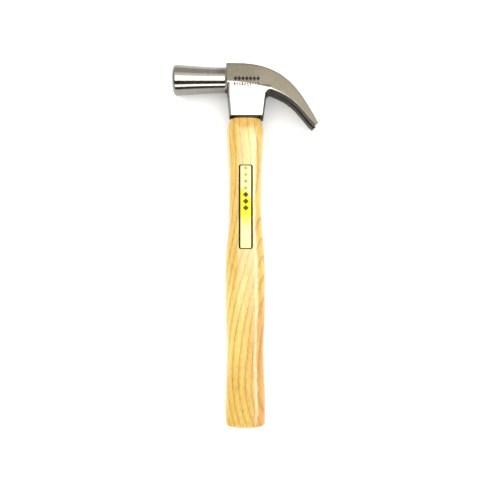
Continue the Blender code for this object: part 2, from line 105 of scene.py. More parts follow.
def bevelEdges(bm, edges, width, steps):
    bmesh.ops.bevel(bm, geom=edges, offset=width, offset_type="OFFSET", segments=steps,
                    profile=0.5, affect="EDGES", clamp_overlap=True, material=-1)


def sharpEdges(bm, least):  # edges that turn by more than this many degrees
    return [e for e in bm.edges if e.is_manifold and e.calc_face_angle(0) > math.radians(least)]


def fixNormals(bm):
    bmesh.ops.recalc_face_normals(bm, faces=bm.faces)
    if bm.calc_volume(signed=True) < 0:
        bmesh.ops.reverse_faces(bm, faces=bm.faces)


# The forged head: turned poll, cheek and claws, socket, eye and nail slot

head = {
    "faceReach": 67.0 * mm, "faceRadius": 14.2 * mm, "neckRadius": 11.4 * mm,
    "rimLength": 2.4 * mm, "rimDepth": 1.6 * mm, "bellPower": 1.5,
    "neckFillet": 1.1 * mm, "cheekReach": 17.6 * mm, "cheekHalf": 12.6 * mm,
    "cheekDepth": 5.9 * mm, "topRise": 12.0 * mm, "topCrown": 0.4 * mm,
    "clawReach": 66.9 * mm, "clawDrop": 43.4 * mm, "clawRoot": (21.0 * mm, -11.0 * mm),
    "waistHalf": 12.1 * mm, "tipHalf": 13.3 * mm, "clawDraft": 0.8 * mm,
    "rootShare": 0.42, "tipThickness": 3.1 * mm, "tipCorner": 3.2 * mm,
    "underBevel": 1.9 * mm, "topRound": 0.7 * mm,
    "slotStart": 0.52, "slotRoot": 0.9 * mm, "slotTip": 3.2 * mm, "slotBevel": 1.0 * mm,
    "skirtDrop": 37.0 * mm, "skirtHalf": 15.85 * mm, "skirtSide": 11.3 * mm,
    "skirtFlare": 2.6 * mm, "heelFlare": 1.8 * mm, "skirtStep": 0.4 * mm,
    "skirtCorner": 2.6 * mm, "rootFillet": 5.0 * mm, "rootLift": 0.4 * mm, "scallop": 1.4 * mm,
    "eyeMiddle": 0.95 * mm, "eyeHalf": (12.5 * mm, 9.2 * mm), "eyeSpread": 0.95 * mm,
    "voxel": 0.48 * mm, "smoothing": 5,
}


def spanPoints(start, end, bendStart, bendEnd, count):
    span = end - start
    bends = [start + Vector((x * span.x, y * span.y)) for x, y in (bendStart, bendEnd)]
    return interpolate_bezier(start, *bends, end, count)


def evenAlong(points, count):  # the same line with its points evenly spaced
    run = [0.0]
    for a, b in zip(points, points[1:]):
        run.append(run[-1] + (b - a).length)
    spaced, i = [], 0
    for k in range(count):
        wanted = run[-1] * k / (count - 1)
        while i < len(run) - 2 and run[i + 1] < wanted:
            i += 1
        spaced.append(points[i].lerp(points[i + 1], (wanted - run[i]) / (run[i + 1] - run[i])))
    return spaced


def clawLines(count):  # top and underside lines of cheek and claws, about the poll's axis
    tip = Vector((head["clawReach"], -head["clawDrop"]))
    crown = Vector((-head["cheekReach"] / 3, head["topRise"] - head["topCrown"] / 2))
    top = [Vector((-head["cheekReach"], head["topRise"]))]
    top += spanPoints(crown, tip, (0.58, 0.015), (0.753, 0.41), 90)
    alongTip = (tip - top[-2]).normalized()
    underTip = tip + Vector((alongTip.y, -alongTip.x)) * head["tipThickness"]
    under = [Vector((-head["cheekReach"], -head["cheekDepth"]))]
    under += spanPoints(Vector(head["clawRoot"]), underTip, (0.607, 0.23), (0.726, 0.679), 90)
    return evenAlong(top, count), evenAlong(under, count)


def sheetBetween(top, under, across):  # a flat sheet of faces, with its share and height kept
    bm = bmesh.new()
    share = bm.verts.layers.float.new("share")
    height = bm.verts.layers.float.new("height")
    chains = []
    for line, level in ((top, 1.0), (under, 0.0)):
        verts = [bm.verts.new((p.x, p.y, 0.0)) for p in line]
        for i, v in enumerate(verts):
            v[share] = i / (len(verts) - 1)
            v[height] = level
        chains += [bm.edges.new(pair) for pair in zip(verts, verts[1:])]
    bmesh.ops.bridge_loops(bm, edges=chains)
    rungs = [e for e in bm.edges if abs(e.verts[0][height] - e.verts[1][height]) > 0.5]
    bmesh.ops.subdivide_edges(bm, edges=rungs, cuts=across, use_grid_fill=True)
    return bm, share, height


def thicken(bm, cuts):  # z runs from -1 to 1, ready to be scaled to half the width
    sheet = list(bm.faces)
    bmesh.ops.translate(bm, verts=bm.verts, vec=(0, 0, -1))
    made = bmesh.ops.extrude_face_region(bm, geom=sheet)["geom"]
    raised = [g for g in made if isinstance(g, bmesh.types.BMVert)]
    bmesh.ops.translate(bm, verts=raised, vec=(0, 0, 2))
    upright = [e for e in bm.edges if abs(e.verts[0].co.z - e.verts[1].co.z) > 1]
    bmesh.ops.subdivide_edges(bm, edges=upright, cuts=cuts, use_grid_fill=True)


def clawHalf(share):
    root = head["rootShare"]
    if share < root:
        return easeBetween(head["cheekHalf"], head["waistHalf"], 2 * share / root - 1)
    flare = min(1.0, (share - root) / (0.97 - root)) ** 1.5
    return head["waistHalf"] + (head["tipHalf"] - head["waistHalf"]) * flare


def makeBlade():
    top, under = clawLines(150)
    bm, share, height = sheetBetween(top, under, 7)
    thicken(bm, 5)
    for v in bm.verts:
        draft = easeBetween(0, head["clawDraft"], 2 * v[share] / head["rootShare"] - 1)
        half = clawHalf(v[share]) - draft * (1 - v[height])
        crown = head["topCrown"] * (1 - v.co.z**2) * v[height] * min(1, 1.6 - 1.5 * v[share])
        v.co.z *= half
        v.co.y += crown
    fixNormals(bm)
    tipEdges = [e for e in bm.edges if all(v[share] > 0.999 for v in e.verts)
                and all(abs(v.co.z) > head["tipHalf"] * 0.9 for v in e.verts)
                and abs(e.verts[0][height] - e.verts[1][height]) > 0.01]
    bevelEdges(bm, tipEdges, head["tipCorner"], 7)
    underSides = [e for e in sharpEdges(bm, 50) if all(v[height] < 0.01 for v in e.verts)]
    bevelEdges(bm, underSides, head["underBevel"] * 0.8, 1)
    topSides = [e for e in sharpEdges(bm, 50) if all(v[height] > 0.99 for v in e.verts)]
    bevelEdges(bm, topSides, head["topRound"] * 0.8, 3)
    bmesh.ops.translate(bm, verts=bm.verts, vec=(0, pollAxis, midPlane))
    return newPiece("bladeTool", bm)


def makePoll():
    bm = bmesh.new()
    face, neck = head["faceRadius"], head["neckRadius"]
    rim = head["faceReach"] - head["rimLength"]
    neckEnd = head["cheekReach"] + head["neckFillet"]
    line = [(head["faceReach"], 0.0), (head["faceReach"], face - head["rimDepth"])]
    line += [(rim + head["rimLength"] * 0.33, face - head["rimDepth"] * 0.17), (rim, face)]
    for i in range(1, 25):
        along = i / 24
        radius = neck + (face - neck) * (1 - along) ** head["bellPower"]
        line.append((rim + (neckEnd - rim) * along, radius))
    fillet = head["neckFillet"]
    for i in range(1, 9):
        turn = math.pi / 2 * i / 8
        line.append((neckEnd - fillet * math.sin(turn), neck + fillet * (1 - math.cos(turn))))
    inside = head["cheekReach"] - 3 * mm
    line += [(inside, line[-1][1]), (inside, 0.0)]
    verts = [bm.verts.new((-x, r, 0.0)) for x, r in line]
    chain = [bm.edges.new(pair) for pair in zip(verts, verts[1:])]
    bmesh.ops.spin(bm, geom=verts + chain, cent=(0, 0, 0), axis=(1, 0, 0), dvec=(0, 0, 0),
                   angle=math.tau, steps=192, use_merge=True, use_duplicate=False)
    bmesh.ops.remove_doubles(bm, verts=bm.verts, dist=0.002 * mm)
    fixNormals(bm)
    bmesh.ops.translate(bm, verts=bm.verts, vec=(0, pollAxis, midPlane))
    return newPiece("pollTool", bm)


def makeSkirt():
    bm = bmesh.new()
    bmesh.ops.create_cube(bm, size=2.0)
    upright = [e for e in bm.edges if abs(e.verts[0].co.y - e.verts[1].co.y) > 1]
    bmesh.ops.subdivide_edges(bm, edges=upright, cuts=70, use_grid_fill=True)
    bottom = -head["skirtDrop"] - 3 * mm
    ceiling = -head["cheekDepth"] + head["underBevel"]
    rightEdge = head["eyeMiddle"] + head["skirtHalf"] + head["skirtFlare"]
    filletTop = underHeight(rightEdge + head["rootFillet"]) + head["rootLift"]
    filletLow = filletTop - head["rootFillet"]
    for v in bm.verts:
        y = bottom + (ceiling - bottom) * (v.co.y + 1) / 2
        share = (y + head["skirtDrop"]) / (filletLow + head["skirtDrop"])
        low = head["eyeMiddle"] - head["skirtHalf"] - head["heelFlare"] * min(1.0, share)
        high = head["eyeMiddle"] + head["skirtHalf"] + head["skirtFlare"] * min(1.0, share)
        lean = (y + head["skirtDrop"]) / (head["skirtDrop"] - head["cheekDepth"])
        side = head["skirtSide"] + (head["cheekHalf"] - head["skirtStep"] - head["skirtSide"]) * lean
        side = min(side, head["cheekHalf"] - head["skirtStep"])
        v.co = (low if v.co.x < 0 else high, y, math.copysign(side, v.co.z))
    corners = [e for e in bm.edges if e.is_manifold and abs(e.verts[0].co.y - e.verts[1].co.y) > 0.1 * mm
               and e.calc_face_angle(0) > 0.7]
    bevelEdges(bm, corners, head["skirtCorner"], 6)
    for v in bm.verts:
        if v.co.x > head["eyeMiddle"]:
            climb = min(head["rootFillet"], max(0.0, v.co.y - filletLow))
            v.co.x += head["rootFillet"] - math.sqrt(head["rootFillet"] ** 2 - climb**2)
    start, end = (-head["cheekReach"], -head["cheekDepth"]), head["clawRoot"]
    bmesh.ops.bisect_plane(bm, geom=bm.verts[:] + bm.edges[:] + bm.faces[:], clear_outer=True,
                           plane_co=(start[0], start[1] + head["underBevel"], 0),
                           plane_no=(start[1] - end[1], end[0] - start[0], 0))
    bmesh.ops.holes_fill(bm, edges=[e for e in bm.edges if e.is_boundary])
    fixNormals(bm)
    bmesh.ops.translate(bm, verts=bm.verts, vec=(0, pollAxis, midPlane))
    skirt = newPiece("skirtTool", bm)

    drum = bmesh.new()  # its round flank hollows the socket's lower rim
    half = head["skirtSide"]
    radius = (half**2 + head["scallop"] ** 2) / (2 * head["scallop"])
    bmesh.ops.create_cone(drum, cap_ends=True, segments=400, radius1=radius, radius2=radius,
                          depth=0.2, matrix=Matrix.Rotation(math.pi / 2, 4, "Y"))
    lowest = pollAxis - head["skirtDrop"]
    bmesh.ops.translate(drum, verts=drum.verts, vec=(0, lowest + radius, midPlane))
    drumTool = newPiece("drumTool", drum)
    booleanWith(skirt, drumTool, "INTERSECT")
    bakeModifiers(skirt)
    dropTools(drumTool)
    return skirt


def underHeight(x):  # height of the claws' underside line above the poll's axis
    line = clawLines(300)[1]
    after = next((i for i, p in enumerate(line) if p.x >= x and i), len(line) - 1)
    a, b = line[after - 1], line[after]
    return a.y + (b.y - a.y) * (x - a.x) / max(b.x - a.x, 1e-6)


def ovalPoint(turn, power):  # a point of a squared-off oval, each half being 1
    c, s = math.cos(turn), math.sin(turn)
    return math.copysign(abs(c) ** (2 / power), c), math.copysign(abs(s) ** (2 / power), s)


def tubeAlong(stations, segments):  # stations: y, middle x, half x, half z, squareness
    bm = bmesh.new()
    turn = bm.verts.layers.float.new("turn")
    bmesh.ops.create_circle(bm, cap_ends=False, radius=1, segments=segments)
    for v in bm.verts:
        v[turn] = math.atan2(v.co.y, v.co.x)
    ring = list(bm.edges)
    for k, (y, middle, halfX, halfZ, power) in enumerate(stations):
        if k:
            made = bmesh.ops.extrude_edge_only(bm, edges=ring)["geom"]
            ring = [g for g in made if isinstance(g, bmesh.types.BMEdge)]
        for v in {v for e in ring for v in e.verts}:
            x, z = ovalPoint(v[turn], power)
            v.co = (middle + x * halfX, y, z * halfZ)
    bmesh.ops.holes_fill(bm, edges=[e for e in bm.edges if e.is_boundary])
    fixNormals(bm)
    return bm


def eyeStation(y, shrink):  # the eye at a height above the poll's axis
    spread = head["eyeSpread"] * max(0.0, y / head["topRise"]) - shrink
    halfX, halfZ = head["eyeHalf"]
    return y + pollAxis, head["eyeMiddle"], halfX + spread, halfZ + spread, 4.0


def makeEyeTool():
    bm = tubeAlong([eyeStation(y * mm, 0) for y in (-46, -20, 0, 4, 8, 12, 20)], 160)
    bmesh.ops.translate(bm, verts=bm.verts, vec=(0, 0, midPlane))
    return newPiece("eyeTool", bm)


def makeSlotTool():
    top, under = clawLines(150)
    start = int(head["slotStart"] * 149)
    top, under = top[start:], under[start:]
    ahead = (top[-1] - top[-2]).normalized() * 6 * mm
    top, under = top + [top[-1] + ahead], under + [under[-1] + ahead]
    outerTop, outerUnder = [], []
    for a, b in zip(top, under):
        up = (a - b).normalized()
        outerTop.append(a + up * 2 * mm)
        outerUnder.append(b - up * 2 * mm)
    bm, share, height = sheetBetween(outerTop, outerUnder, 11)
    thicken(bm, 1)
    for v in bm.verts:
        half = head["slotRoot"] + (head["slotTip"] - head["slotRoot"]) * v[share]
        i = int(v[share] * (len(top) - 1))
        thick = (outerTop[i] - outerUnder[i]).length
        belowEdge = head["slotBevel"] + 2 * mm - v[height] * thick
        v.co.z *= half + max(0.0, belowEdge)
    fixNormals(bm)
    bmesh.ops.translate(bm, verts=bm.verts, vec=(0, pollAxis, midPlane))
    return newPiece("slotTool", bm)


def cutAway(piece, *tools):
    for tool in tools:
        booleanWith(piece, tool, "DIFFERENCE")
    bakeModifiers(piece)


def joinPieces(name, pieces):
    bm = bmesh.new()
    for piece in pieces:
        bm.from_mesh(piece.data)
    dropTools(*pieces)
    return newPiece(name, bm)


blade, poll, skirt, slot = makeBlade(), makePoll(), makeSkirt(), makeSlotTool()
eye = makeEyeTool()
cutAway(blade, eye, slot)
cutAway(skirt, eye)
dropTools(eye, slot)
forgedHead = joinPieces("forgedHead", [blade, poll, skirt])
oneSkin = forgedHead.modifiers.new("oneSkin", "REMESH")
oneSkin.mode = "VOXEL"
oneSkin.voxel_size = head["voxel"]
oneSkin.use_smooth_shade = True
soften = forgedHead.modifiers.new("soften", "SMOOTH")
soften.factor = 0.5
soften.iterations = head["smoothing"]
bakeModifiers(forgedHead)
print("forged head:", len(forgedHead.data.polygons), "faces")

# The handle: tongue in the eye, shoulder, oval grip and square-cut butt

grip = {
    "stations": [  # y, half x, half z
        (116.45, 14.7, 11.6), (106.55, 16.9, 12.6), (61.05, 14.9, 11.5), (31.05, 14.9, 11.5),
        (-21.75, 18.3, 12.7), (-57.75, 18.3, 12.7), (-100.25, 17.0, 12.2), (-159.25, 18.8, 13.4),
    ],
    "butt": -168.25 * mm, "buttRound": 2.2 * mm, "squareness": 2.7, "clearance": 0.12 * mm,
    "shoulder": 116.5 * mm, "belowTop": 0.45 * mm, "segments": 64,
    "fineStep": 0.8 * mm, "coarseStep": 2.6 * mm, "fineAbove": 98 * mm,
    "tongueTop": 9.0 * mm, "tongueLeast": 8.7 * mm,
    "shaveFrom": 107.0 * mm, "shaveHeight": 12.6 * mm, "shaveSlope": 0.24, "shaveSoft": 0.3 * mm,
}


def gripHalf(y):
    stations = grip["stations"]
    y = y / mm
    if y >= stations[0][0]:
        return stations[0][1] * mm, stations[0][2] * mm
    for (upper, x0, z0), (lower, x1, z1) in zip(stations, stations[1:]):
        if y >= lower:
            share = (upper - y) / (upper - lower)
            return easeBetween(x0, x1, share) * mm, easeBetween(z0, z1, share) * mm
    return stations[-1][1] * mm, stations[-1][2] * mm


def headTopAt(x):  # height of the head's top line above the poll's axis
    return min(headTop, key=lambda p: abs(p.x - x)).y


def makeHandle():
    stations = []
    for share in (0.1, 0.4, 0.7, 0.9, 0.98):
        y, middle, halfX, halfZ, power = eyeStation(grip["tongueTop"], grip["clearance"])
        stations.append((y + 1 * mm, middle, halfX * share, halfZ * share, power))
    for y in (8.6, 7.0, 4.0, 0.0, -12.0, -24.0, -36.2):
        stations.append(eyeStation(y * mm, grip["clearance"]))
    y = grip["shoulder"]
    halfX, halfZ = gripHalf(y)
    for inward, lower in ((1.2, 0.0), (0.4, 0.1), (0.0, 0.5)):  # the shoulder's rounded edge
        stations.append((y - lower * mm, 0.0, halfX - inward * mm, halfZ - inward * mm,
                         grip["squareness"]))
    y -= 1.2 * mm
    last = grip["butt"] + grip["buttRound"]
    while y > last + 2 * mm:
        stations.append((y, 0.0, *gripHalf(y), grip["squareness"]))
        y -= grip["fineStep"] if y > grip["fineAbove"] else grip["coarseStep"]
    for i in range(7):
        turn = math.pi / 2 * i / 6
        halfX, halfZ = (half - grip["buttRound"] * (1 - math.cos(turn)) for half in gripHalf(last))
        stations.append((last - grip["buttRound"] * math.sin(turn), 0.0, halfX, halfZ,
                         grip["squareness"]))
    y, middle, halfX, halfZ, power = stations[-1]
    stations += [(y, 0.0, halfX * share, halfZ * share, power) for share in (0.9, 0.6, 0.3, 0.08)]
    bm = tubeAlong(stations, grip["segments"])
    for v in bm.verts:
        if v.co.y > pollAxis + 8.5 * mm:  # the tongue's end follows the top of the head
            v.co.y = max(pollAxis + headTopAt(v.co.x) - grip["belowTop"], pollAxis + grip["tongueLeast"])
        if 90 * mm < v.co.y < grip["shoulder"] + 0.01 * mm:  # two shaved flats under the skirt
            plane = grip["shaveHeight"] - (v.co.y - grip["shaveFrom"]) * grip["shaveSlope"]
            over = abs(v.co.z) - plane
            soft = grip["shaveSoft"]
            cut = soft * math.log1p(math.exp(over / soft)) if over < 20 * soft else over
            v.co.z -= math.copysign(cut, v.co.z)
    bmesh.ops.translate(bm, verts=bm.verts, vec=(0, 0, midPlane))
    handle = newPiece("ashHandle", bm)
    handle.data.shade_smooth()
    finer = handle.modifiers.new("finer", "SUBSURF")
    finer.levels = finer.render_levels = 1
    bakeModifiers(handle)
    return handle


headTop = clawLines(300)[0]
ashHandle = makeHandle()
print("handle:", len(ashHandle.data.polygons), "faces")


# Wedges: copies of the built ones with their edges broken

wedges = {
    "poplarWedge": ("wood_wedge", 0.15 * mm),
    "ironWedgePollSide": ("steel_wedge_poll_side", 0.2 * mm),
    "ironWedgeClawSide": ("steel_wedge_claw_side", 0.2 * mm),
}
kerfRoom = 0.16 * mm  # left around each wedge in the wood


def wedgeCopy(name, node, edge, grow=0.0):
    bm = bmesh.new()
    bm.from_mesh(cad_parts[node].data)
    bmesh.ops.remove_doubles(bm, verts=bm.verts, dist=0.005 * mm)
    bmesh.ops.dissolve_limit(bm, angle_limit=math.radians(1), verts=bm.verts, edges=bm.edges)
    fixNormals(bm)
    bm.normal_update()
    if grow:
        for v in bm.verts:
            v.co += v.normal * grow
    else:
        bevelEdges(bm, sharpEdges(bm, 40), edge, 2)
    return newPiece(name, bm)


wedgePieces = {name: wedgeCopy(name, *facts) for name, facts in wedges.items()}
rooms = [wedgeCopy(name + "Room", node, 0, kerfRoom) for name, (node, edge) in wedges.items()]
cutAway(ashHandle, *rooms)
dropTools(*rooms)
print("wedges:", len(wedgePieces))


# Printed label on the grip, and a plain stamp on the cheek

label = {
    "middle": (0.4 * mm, 34.4 * mm), "size": (12.9 * mm, 77.3 * mm), "corner": 1.7 * mm,
    "line": (1.6 * mm, 0.9 * mm), "above": 0.05 * mm, "thickness": 0.12 * mm, "grid": 1.1 * mm,
    "marks": 3, "sheenMarks": 4, "firstMark": 45.6 * mm, "markPitch": 6.1 * mm,
    "markWide": 5.4 * mm, "markTall": 5.2 * mm,
}


def roundedOutline(bm, middle, size, corner, steps=6):
    loop = []
    for quarter in range(4):
        sx, sy = ((1, 1), (-1, 1), (-1, -1), (1, -1))[quarter]
        cx = middle[0] + sx * (size[0] / 2 - corner)
        cy = middle[1] + sy * (size[1] / 2 - corner)
        for i in range(steps + 1):
            turn = math.pi / 2 * (quarter + i / steps)
            loop.append(bm.verts.new((cx + corner * math.cos(turn), cy + corner * math.sin(turn), 0.1)))
    return loop


def sliceFinely(bm, step):  # extra cuts across a flat shape, so that it can follow a curve
    for axis in (0, 1):
        values = [v.co[axis] for v in bm.verts]
        at = min(values) + step
        while at < max(values) - step / 3:
            place, normal = Vector((0, 0, 0)), Vector((0, 0, 0))
            place[axis], normal[axis] = at, 1
            bmesh.ops.bisect_plane(bm, geom=list(bm.verts) + list(bm.edges) + list(bm.faces),
                                   dist=1e-6, plane_co=place, plane_no=normal)
            at += step


def layOn(name, bm, under, grid, above, thickness):  # a print that follows the surface below it
    sliceFinely(bm, grid)
    bmesh.ops.recalc_face_normals(bm, faces=bm.faces)
    for f in bm.faces:
        if f.normal.z < 0:
            f.normal_flip()
    piece = newPiece(name, bm)
    drop = piece.modifiers.new("lie", "SHRINKWRAP")
    drop.target = under
    drop.wrap_method = "PROJECT"
    drop.use_project_z = True
    drop.use_negative_direction = True
    drop.use_positive_direction = False
    drop.offset = above
    wall = piece.modifiers.new("ink", "SOLIDIFY")
    wall.thickness = thickness
    wall.offset = 1.0
    bakeModifiers(piece)
    piece.data.shade_smooth()
    return piece


def makeLabelField():
    bm = bmesh.new()
    size = [side - line for side, line in zip(label["size"], label["line"])]
    bm.faces.new(roundedOutline(bm, label["middle"], size, label["corner"] - label["line"][1] / 2))
    return layOn("labelField", bm, ashHandle, label["grid"], label["above"], label["thickness"] / 2)


def makeLabelLine():
    bm = bmesh.new()
    outer = roundedOutline(bm, label["middle"], label["size"], label["corner"])
    inner = [side - 2 * line for side, line in zip(label["size"], label["line"])]
    inner = roundedOutline(bm, label["middle"], inner, label["corner"] - label["line"][1])
    edges = [bm.edges.new(pair) for loop in (outer, inner) for pair in zip(loop, loop[1:] + loop[:1])]
    bmesh.ops.bridge_loops(bm, edges=edges)
    return layOn("labelLine", bm, ashHandle, label["grid"], label["above"], label["thickness"])


def lozenge(bm, x, y, wide, tall):
    made = bmesh.ops.create_circle(bm, cap_ends=True, radius=0.5, segments=4)["verts"]
    bmesh.ops.scale(bm, verts=made, vec=(wide, tall, 1))
    bmesh.ops.translate(bm, verts=made, vec=(x, y, 0.1))


def makeLabelMarks(name, steps, share):  # plain lozenges down the middle of the label
    bm = bmesh.new()
    for k in steps:
        y = label["firstMark"] - k * label["markPitch"]
        lozenge(bm, label["middle"][0], y, label["markWide"] * share, label["markTall"] * share)
    return layOn(name, bm, ashHandle, label["grid"], label["above"], label["thickness"])


# the upper marks are drawn paler, a painted highlight where the label is washed pale
labelPieces = [makeLabelField(), makeLabelLine(), makeLabelMarks("labelMark", range(label["marks"]), 1),
               makeLabelMarks("labelSheenMark", range(-label["sheenMarks"], 0), 0.7)]

stamp = {
    "start": -9.0 * mm, "pitch": 3.45 * mm, "count": 7, "row": -2.4 * mm, "tall": 4.4 * mm,
    "wide": 3.4 * mm, "tickRow": -7.2 * mm, "tickTall": 2.6 * mm, "tickWide": 1.1 * mm,
    "tickPitch": 2.4 * mm, "ticks": 10, "grid": 0.5 * mm, "above": 0.10 * mm, "depth": 0.08 * mm,
}


def makeStamp():  # a row of plain lozenges
    bm = bmesh.new()
    for k in range(stamp["count"]):
        x = stamp["start"] + k * stamp["pitch"]
        lozenge(bm, x, pollAxis + stamp["row"], stamp["wide"], stamp["tall"])
    return layOn("cheekStamp", bm, forgedHead, stamp["grid"], stamp["above"], stamp["depth"])


def makeTicks():  # a scale of plain ticks below the lozenges, every third one taller
    bm = bmesh.new()
    for k in range(stamp["ticks"]):
        made = bmesh.ops.create_grid(bm, x_segments=1, y_segments=1, size=0.5)["verts"]
        tall = stamp["tickTall"] * (0.6 if k % 3 else 1.0)
        bmesh.ops.scale(bm, verts=made, vec=(stamp["tickWide"], tall, 1))
        x = stamp["start"] - 0.8 * mm + k * stamp["tickPitch"]
        bmesh.ops.translate(bm, verts=made, vec=(x, pollAxis + stamp["tickRow"], 0.1))
    return layOn("cheekTicks", bm, forgedHead, stamp["grid"], stamp["above"], stamp["depth"])


cheekPrints = [makeStamp(), makeTicks()]
print("label and prints made")


# Camera, light and floor

studio = {
    "lens": 35.19, "sensor": 36.0, "eye": (0.6 * mm, -1.55 * mm), "distance": 452 * mm,
    "lampHeight": 0.9, "backY": -1.2,
    "sky": (1.74, 0.85),  # as it lights the object, and as it shows in the steel
    "air": (1.0, 0.99, 0.97, 1),
    "floorHalf": 4.0, "cardWidth": 2.6, "clipStart": 0.02,
    "fades": 4, "fadeDepth": 0.13, "fadeStart": 0.475, "fadeColour": (1.0, 0.96, 0.88),
    "warm": (1.0, 0.975, 0.92), "mild": (1.0, 0.98, 0.95), "white": (1.0, 1.0, 1.0),
}


def makeCamera():
    data = bpy.data.cameras.new("camera")
    data.lens = studio["lens"]
    data.sensor_width = studio["sensor"]
    data.clip_start = studio["clipStart"]
    camera = bpy.data.objects.new("camera", data)
    camera.location = (*studio["eye"], midPlane + studio["distance"])
    bpy.context.scene.collection.objects.link(camera)
    bpy.context.scene.camera = camera


def softbox(name, width, depth, place, tilt, brightness, colour, inDiffuse=False):
    data = bpy.data.lights.new(name, "AREA")
    data.shape = "RECTANGLE"
    data.size, data.size_y = width, depth
    data.energy = brightness * math.pi * width * depth
    data.color = colour
    lamp = bpy.data.objects.new(name, data)
    lamp.matrix_world = Matrix.Translation(place) @ Matrix.Rotation(math.radians(tilt), 4, "X")
    lamp.visible_camera = False
    lamp.visible_diffuse, lamp.visible_glossy = inDiffuse, not inDiffuse
    bpy.context.scene.collection.objects.link(lamp)


def makeFloor():
    bm = bmesh.new()
    bmesh.ops.create_grid(bm, x_segments=2, y_segments=2, size=studio["floorHalf"])
    floor = newPiece("floor", bm)
    floor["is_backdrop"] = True
    return floor


def makeDarkCard(name, width, depth, place, tilt):  # black cloth, seen only in the steel
    bm = bmesh.new()
    bmesh.ops.create_grid(bm, x_segments=1, y_segments=1, size=0.5)
    bmesh.ops.scale(bm, verts=bm.verts, vec=(width, depth, 1))
    bmesh.ops.rotate(bm, verts=bm.verts, cent=(0, 0, 0), matrix=Matrix.Rotation(math.radians(tilt), 3, "X"))
    bmesh.ops.translate(bm, verts=bm.verts, vec=place)
    card = newPiece(name, bm)
    for way in ("camera", "diffuse", "transmission", "volume_scatter", "shadow"):
        setattr(card, "visible_" + way, False)
    card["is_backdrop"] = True
    return card


makeCamera()
high, back = studio["lampHeight"], studio["backY"]
softbox("topLamp", 0.72, 0.56, (0.09, 0.13, high), 0, 5.0, studio["warm"])
for step in range(studio["fades"]):  # the lamp's soft edge
    softbox(f"fade{step}", 0.9, studio["fadeDepth"],
            (0.0, studio["fadeStart"] + studio["fadeDepth"] * step, high), 0, 1.2 - 0.1 * step,
            studio["fadeColour"])
softbox("backLamp", 1.8, 0.46, (-0.1, back, 0.90), 90, 5.0, studio["white"])
softbox("sideStrip", 0.24, 0.90, (0.62, -0.10, high), 0, 16.0, studio["mild"])
softbox("rightFill", 0.5, 0.9, (0.9, 0.2, high), 0, 0.9, studio["mild"], True)
floor = makeFloor()
cards = [makeDarkCard("topCard", studio["cardWidth"], 0.66, (0, -0.485, high + 0.01), 0),
         makeDarkCard("backCard", studio["cardWidth"], 0.50, (0, back, 0.35), 90)]

world = bpy.data.worlds.new("studioAir")
world.use_nodes = True
air = world.node_tree
air.nodes["Background"].inputs["Color"].default_value = studio["air"]
path, level = air.nodes.new("ShaderNodeLightPath"), air.nodes.new("ShaderNodeMapRange")
level.inputs["To Min"].default_value, level.inputs["To Max"].default_value = studio["sky"]
air.links.new(path.outputs["Is Glossy Ray"], level.inputs["Value"])
air.links.new(level.outputs[0], air.nodes["Background"].inputs["Strength"])
bpy.context.scene.world = world
bpy.context.scene.view_settings.view_transform = "Standard"
print("studio ready")


# Shared effects as node groups: uneven spots, drawn-out scratches and growth rings

def newGroup(name, inputs, outputs):
    tree = bpy.data.node_groups.new(name, "ShaderNodeTree")
    for title, kind, value in inputs:
        socket = tree.interface.new_socket(title, in_out="INPUT", socket_type="NodeSocket" + kind)
        if value is not None:
            socket.default_value = value
    for title, kind in outputs:
        tree.interface.new_socket(title, in_out="OUTPUT", socket_type="NodeSocket" + kind)
    return tree, tree.nodes.new("NodeGroupInput"), tree.nodes.new("NodeGroupOutput")


def feed(tree, socket, value):  # a link from another node, or a plain value
    if isinstance(value, bpy.types.NodeSocket):
        tree.links.new(value, socket)
    else:
        socket.default_value = value


def addNode(tree, kind, inputs=None, **settings):
    node = tree.nodes.new("ShaderNode" + kind)
    for key, value in settings.items():
        setattr(node, key, value)
    for key, value in (inputs or {}).items():
        feed(tree, node.inputs[key], value)
    return node


def mathNode(tree, operation, *values, clamp=False):
    node = addNode(tree, "Math", operation=operation, use_clamp=clamp)
    for i, value in enumerate(values):
        feed(tree, node.inputs[i], value)
    return node.outputs[0]


def mixColour(tree, share, first, second, blend="MIX"):
    node = addNode(tree, "Mix", data_type="RGBA", blend_type=blend)
    for key, value in (("Factor", share), ("A", first), ("B", second)):
        socket = next(s for s in node.inputs if s.name == key and s.enabled)
        feed(tree, socket, (*value, 1.0) if isinstance(value, tuple) else value)
    return next(s for s in node.outputs if s.enabled)


def rampNode(tree, factor, stops):  # stops: a place and a grey
    node = addNode(tree, "ValToRGB", {"Fac": factor})
    ramp = node.color_ramp
    while len(ramp.elements) < len(stops):
        ramp.elements.new(0.5)
    for element, (place, grey) in zip(ramp.elements, stops):
        element.position = place
        element.color = (grey, grey, grey, 1.0)
    return node.outputs["Color"]


def speckleGroup():  # fine uneven spots, with a value around a half
    tree, given, made = newGroup("speckle", [("Vector", "Vector", None), ("Scale", "Float", 800.0),
                                             ("Contrast", "Float", 1.0)], [("Value", "Float")])
    noise = addNode(tree, "TexNoise", {"Vector": given.outputs["Vector"],
                                       "Scale": given.outputs["Scale"], "Detail": 3.0})
    centred = mathNode(tree, "SUBTRACT", noise.outputs["Fac"], 0.5)
    scaled = mathNode(tree, "MULTIPLY", centred, given.outputs["Contrast"])
    tree.links.new(mathNode(tree, "ADD", scaled, 0.5, clamp=True), made.inputs["Value"])
    return tree


def brushGroup():  # scratches drawn out along one direction
    tree, given, made = newGroup("brushing", [("Vector", "Vector", None), ("Stretch", "Vector", (1, 1, 1)),
                                              ("Scale", "Float", 400.0)], [("Value", "Float")])
    drawn = addNode(tree, "VectorMath", {0: given.outputs["Vector"], 1: given.outputs["Stretch"]},
                    operation="MULTIPLY")
    noise = addNode(tree, "TexNoise", {"Vector": drawn.outputs[0], "Scale": given.outputs["Scale"],
                                       "Detail": 4.0, "Roughness": 0.65})
    tree.links.new(noise.outputs["Fac"], made.inputs["Value"])
    return tree


